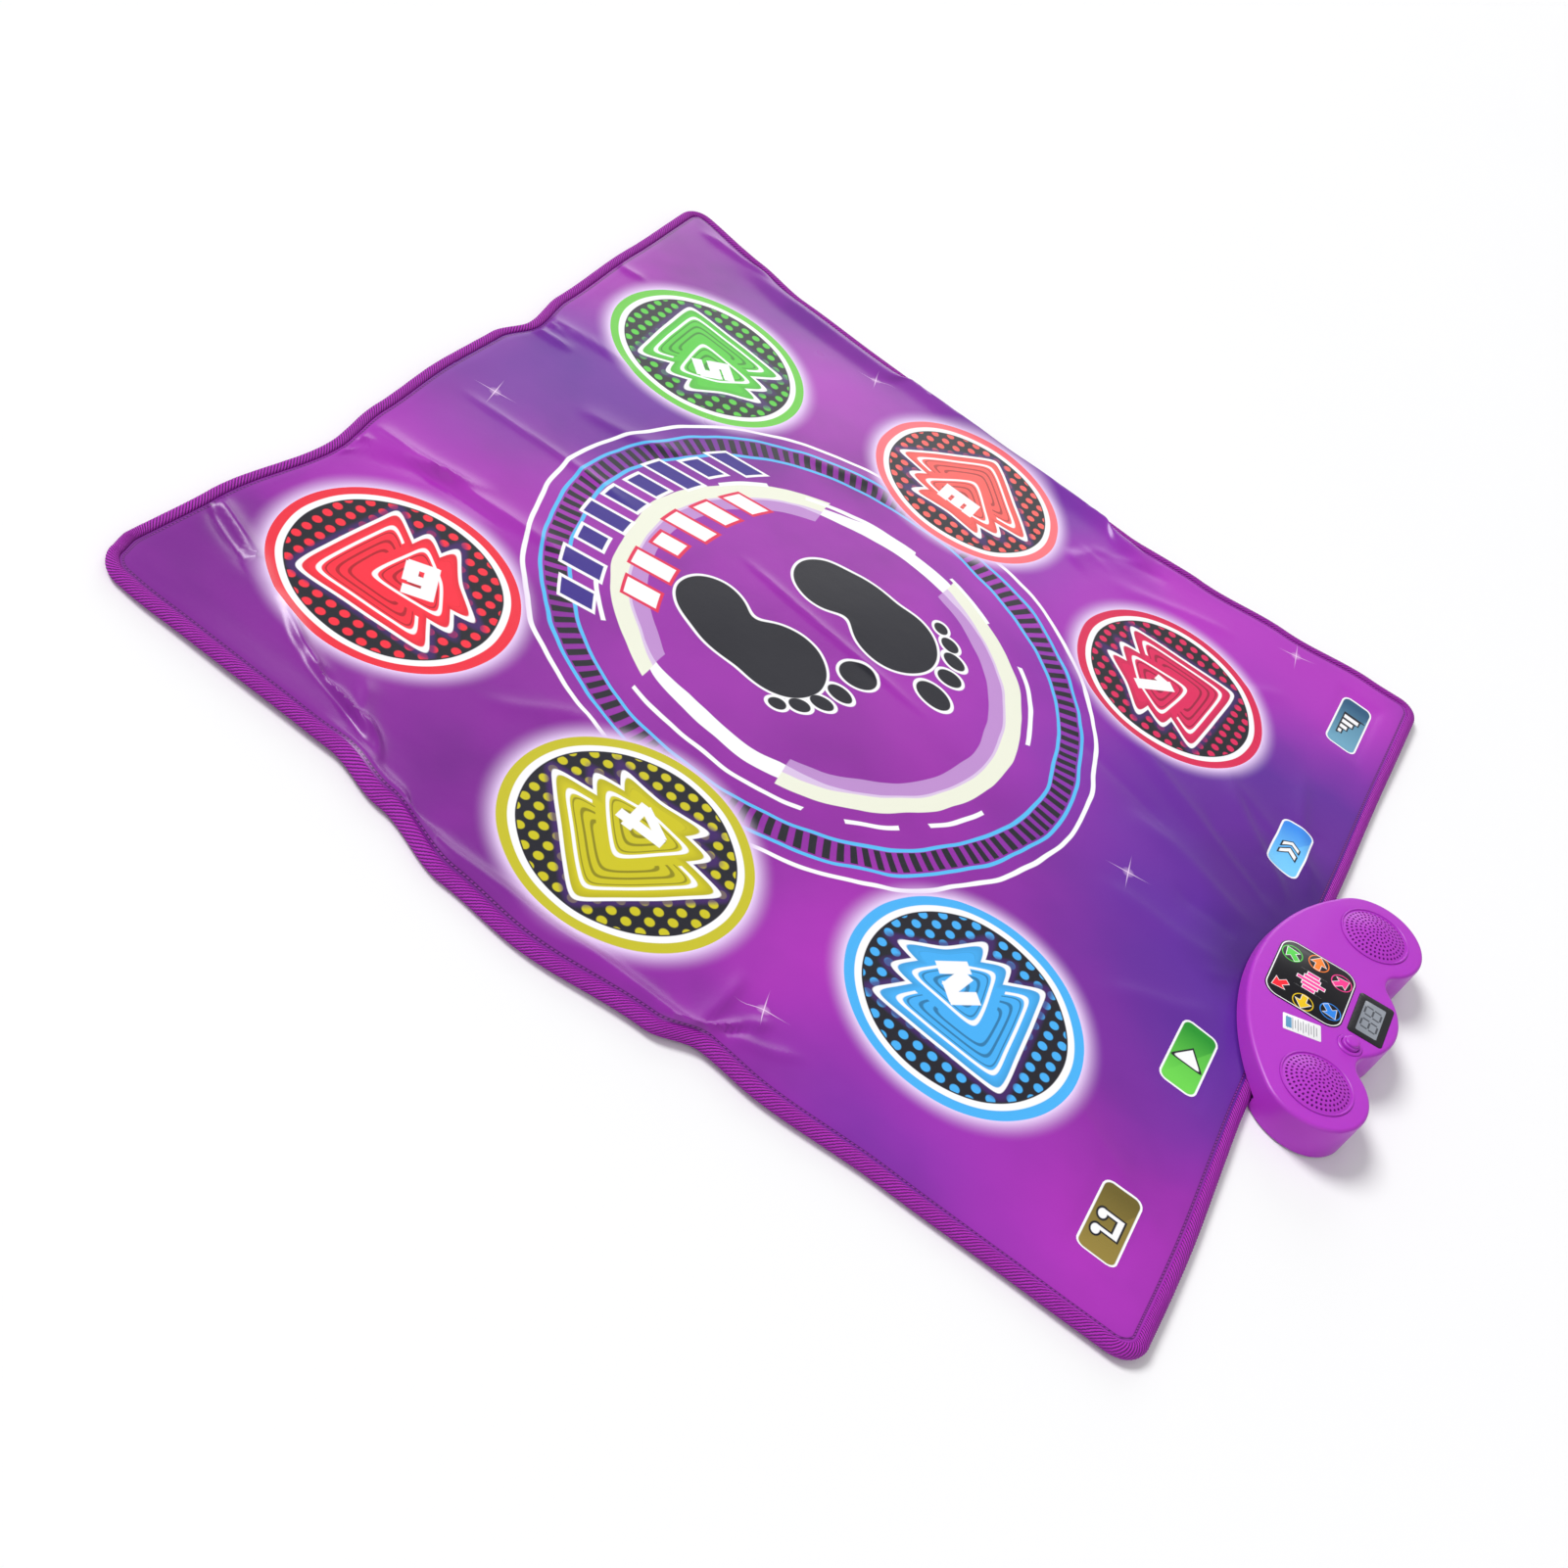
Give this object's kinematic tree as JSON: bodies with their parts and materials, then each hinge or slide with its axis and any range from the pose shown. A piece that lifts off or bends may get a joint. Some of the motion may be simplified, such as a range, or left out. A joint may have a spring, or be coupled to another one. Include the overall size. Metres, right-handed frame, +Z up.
{
  "type": "dance mat",
  "caption": "Folding padded dance mat with round arrow pads, a row of mat keys and a sloping control box that holds speakers, a display and batteries.",
  "frame": {"origin": "centre of the mat's underside, on the floor", "axes": "+Z up, +Y away from the control box along the mat's length, +X to the right seen from the control box"},
  "size_m": [0.93, 0.996, 0.0418],
  "materials": {
    "backing_cloth": "woven non-slip cloth",
    "circuit_film": "clear printed film",
    "foam": "open-cell foam sheet",
    "printed_cover": "printed satin polyester",
    "binding_tape": "twill tape",
    "print_crimson": "printed polyester",
    "print_blue": "printed polyester",
    "print_salmon": "printed polyester",
    "print_olive": "printed polyester",
    "print_green": "printed polyester",
    "print_red": "printed polyester",
    "print_teal": "printed polyester",
    "purple_plastic": "moulded, satin gloss",
    "black_plastic": "moulded",
    "display_grey": "display glass, unlit",
    "circuit_board": "lacquered laminate",
    "icon_print": "printed film",
    "lamp": "clear lens",
    "label_paper": "printed label",
    "cell_jacket": "wrapped steel can",
    "spring_metal": "plated",
    "screw_steel": "zinc plated",
    "clamp_plastic": "moulded",
    "foot_rubber": "moulded"
  },
  "bodies": {
    "near_panel": {"backing_near": "backing_cloth", "circuit_near": "circuit_film", "foam_near": "foam", "cover_near": "printed_cover", "binding_near": "binding_tape", "upper_shell": "purple_plastic", "lower_shell": "purple_plastic", "speaker_grille_left": "purple_plastic", "speaker_grille_right": "purple_plastic", "speaker_left": "black_plastic", "speaker_right": "black_plastic", "display_bezel": "black_plastic", "display_window": "display_grey", "display_module": "display_grey", "power_switch": "black_plastic", "main_board": "circuit_board", "icon_panel": "icon_print", "arrow_leds": "lamp", "label_sticker": "label_paper", "battery_cells": "cell_jacket", "battery_contacts": "spring_metal", "shell_screws": "screw_steel", "board_screws": "screw_steel", "clamp_plate": "clamp_plastic", "clamp_screws": "screw_steel", "rubber_feet": "foot_rubber", "ribbon_tail": "circuit_film"},
    "middle_panel": {"backing_middle": "backing_cloth", "circuit_middle": "circuit_film", "foam_middle": "foam", "cover_middle": "printed_cover", "binding_middle": "binding_tape"},
    "far_panel": {"backing_far": "backing_cloth", "circuit_far": "circuit_film", "foam_far": "foam", "cover_far": "printed_cover", "binding_far": "binding_tape"},
    "pad_1": {"arrow_pad_1": "print_crimson", "pad_puck_1": "foam"},
    "pad_2": {"arrow_pad_2": "print_blue", "pad_puck_2": "foam"},
    "pad_3": {"arrow_pad_3": "print_salmon", "pad_puck_3": "foam"},
    "pad_4": {"arrow_pad_4": "print_olive", "pad_puck_4": "foam"},
    "pad_5": {"arrow_pad_5": "print_green", "pad_puck_5": "foam"},
    "pad_6": {"arrow_pad_6": "print_red", "pad_puck_6": "foam"},
    "key_song": {"song_key": "print_olive", "song_puck": "foam"},
    "key_start": {"start_key": "print_green", "start_puck": "foam"},
    "key_mode": {"mode_key": "print_blue", "mode_puck": "foam"},
    "key_level": {"level_key": "print_teal", "level_puck": "foam"},
    "button": {"power_button": "purple_plastic"},
    "door": {"battery_door": "purple_plastic"}
  },
  "joints": [
    {"name": "middle_fold", "type": "hinge", "parent": "near_panel", "child": "middle_panel", "pos_m": [0, -0.0985, 0.0096], "axis": [1, 0, 0], "range_deg": [0, 172]},
    {"name": "far_fold", "type": "hinge", "parent": "middle_panel", "child": "far_panel", "pos_m": [0, 0.1725, -0.0006], "axis": [1, 0, 0], "range_deg": [-172, 0]},
    {"name": "pad_1_press", "type": "slide", "parent": "near_panel", "child": "pad_1", "axis": [0, 0, -1], "range_m": [0, 0.0018], "stiffness_N_per_m": 5000, "springref_m": -0.0004},
    {"name": "pad_2_press", "type": "slide", "parent": "near_panel", "child": "pad_2", "axis": [0, 0, -1], "range_m": [0, 0.0018], "stiffness_N_per_m": 5000, "springref_m": -0.0004},
    {"name": "pad_3_press", "type": "slide", "parent": "middle_panel", "child": "pad_3", "axis": [0, 0, -1], "range_m": [0, 0.0018], "stiffness_N_per_m": 5000, "springref_m": -0.0004},
    {"name": "pad_4_press", "type": "slide", "parent": "middle_panel", "child": "pad_4", "axis": [0, 0, -1], "range_m": [0, 0.0018], "stiffness_N_per_m": 5000, "springref_m": -0.0004},
    {"name": "pad_5_press", "type": "slide", "parent": "far_panel", "child": "pad_5", "axis": [0, 0, -1], "range_m": [0, 0.0018], "stiffness_N_per_m": 5000, "springref_m": -0.0004},
    {"name": "pad_6_press", "type": "slide", "parent": "far_panel", "child": "pad_6", "axis": [0, 0, -1], "range_m": [0, 0.0018], "stiffness_N_per_m": 5000, "springref_m": -0.0004},
    {"name": "song_key_press", "type": "slide", "parent": "near_panel", "child": "key_song", "axis": [0, 0, -1], "range_m": [0, 0.0012], "stiffness_N_per_m": 1500, "springref_m": -0.0003},
    {"name": "start_key_press", "type": "slide", "parent": "near_panel", "child": "key_start", "axis": [0, 0, -1], "range_m": [0, 0.0012], "stiffness_N_per_m": 1500, "springref_m": -0.0003},
    {"name": "mode_key_press", "type": "slide", "parent": "near_panel", "child": "key_mode", "axis": [0, 0, -1], "range_m": [0, 0.0012], "stiffness_N_per_m": 1500, "springref_m": -0.0003},
    {"name": "level_key_press", "type": "slide", "parent": "near_panel", "child": "key_level", "axis": [0, 0, -1], "range_m": [0, 0.0012], "stiffness_N_per_m": 1500, "springref_m": -0.0003},
    {"name": "button_press", "type": "slide", "parent": "near_panel", "child": "button", "axis": [0, -0.1219, -0.9925], "range_m": [0, 0.0015], "stiffness_N_per_m": 800, "springref_m": -0.0003},
    {"name": "door_hinge", "type": "hinge", "parent": "near_panel", "child": "door", "pos_m": [-0.016, -0.51325, 0.0015], "axis": [-1, 0, 0], "range_deg": [0, 80]}
  ],
  "couplings": [
    {"joint": "far_fold", "follows": "middle_fold", "ratio": -1}
  ]
}
